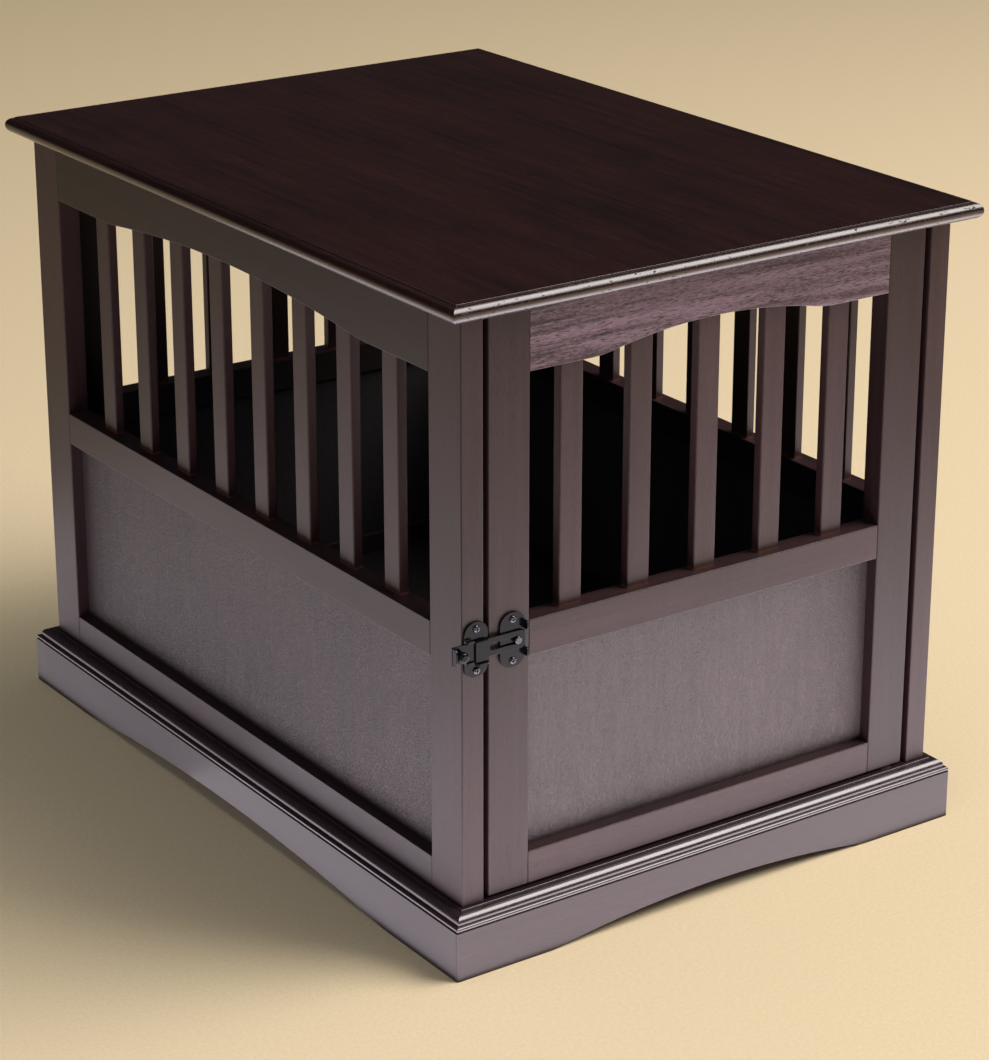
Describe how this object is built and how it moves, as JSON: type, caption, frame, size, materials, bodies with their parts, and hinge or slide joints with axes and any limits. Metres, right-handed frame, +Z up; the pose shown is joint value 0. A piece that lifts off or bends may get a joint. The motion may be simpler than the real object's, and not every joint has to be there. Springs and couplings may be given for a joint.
{
  "type": "pet crate end table",
  "caption": "Dark-stained wooden pet crate that doubles as an end table, with slatted sides, solid lower panels, a moulded plinth, a hinged front door and a black sliding bar latch.",
  "frame": {"origin": "bottom centre of the crate, on the floor", "axes": "+Z up, the door on the -Y face, +X to the right as seen from in front of the door"},
  "size_m": [0.575, 0.797, 0.61],
  "materials": {
    "espresso_frame": "espresso stain under satin lacquer",
    "espresso_top": "espresso stain under semi-gloss lacquer",
    "espresso_panel": "espresso stained veneer under satin lacquer",
    "espresso_base": "espresso stain under satin lacquer",
    "inner_wood": "espresso stain, unlacquered",
    "black_steel": "black semi-gloss paint",
    "zinc_steel": "bright zinc plate",
    "nylon": "natural white nylon"
  },
  "bodies": {
    "frame": {"tabletop": "espresso_top", "top_cleats": "inner_wood", "cleat_screws": "zinc_steel", "plinth_front": "espresso_base", "plinth_left": "espresso_base", "plinth_right": "espresso_base", "plinth_back": "espresso_base", "cap_front": "espresso_base", "cap_left": "espresso_base", "cap_right": "espresso_base", "cap_back": "espresso_base", "corner_blocks": "inner_wood", "floor_batten": "inner_wood", "floor_panel": "inner_wood", "left_front_stile": "espresso_frame", "left_rear_stile": "espresso_frame", "left_top_rail": "espresso_frame", "left_mid_rail": "espresso_frame", "left_bottom_rail": "espresso_frame", "left_panel": "espresso_panel", "left_slats": "espresso_frame", "right_front_stile": "espresso_frame", "right_rear_stile": "espresso_frame", "right_top_rail": "espresso_frame", "right_mid_rail": "espresso_frame", "right_bottom_rail": "espresso_frame", "right_panel": "espresso_panel", "right_slats": "espresso_frame", "back_left_stile": "espresso_frame", "back_right_stile": "espresso_frame", "back_top_rail": "espresso_frame", "back_mid_rail": "espresso_frame", "back_bottom_rail": "espresso_frame", "back_panel": "espresso_panel", "back_slats": "espresso_frame", "back_dowels": "inner_wood", "pivot_pin_bottom": "zinc_steel", "pivot_pin_top": "zinc_steel", "pivot_washers": "nylon", "latch_post_plate": "black_steel", "latch_post_screws": "black_steel"},
    "door": {"door_latch_stile": "espresso_frame", "door_hinge_stile": "espresso_frame", "door_top_rail": "espresso_frame", "door_mid_rail": "espresso_frame", "door_bottom_rail": "espresso_frame", "door_panel": "espresso_panel", "door_slat_1": "espresso_frame", "door_slat_2": "espresso_frame", "door_slat_3": "espresso_frame", "door_slat_4": "espresso_frame", "door_slat_5": "espresso_frame", "latch_door_plate": "black_steel", "latch_door_screws": "black_steel", "latch_guide_pin": "black_steel"},
    "latch_bar": {"latch_bar": "black_steel", "latch_knob": "black_steel", "latch_pull": "black_steel"}
  },
  "joints": [
    {"name": "door_hinge", "type": "hinge", "parent": "frame", "child": "door", "pos_m": [0.226, -0.367, 0.062], "axis": [0, 0, 1], "range_deg": [0, 110]},
    {"name": "latch_slide", "type": "slide", "parent": "door", "child": "latch_bar", "axis": [1, 0, 0], "range_m": [0, 0.0255]}
  ]
}
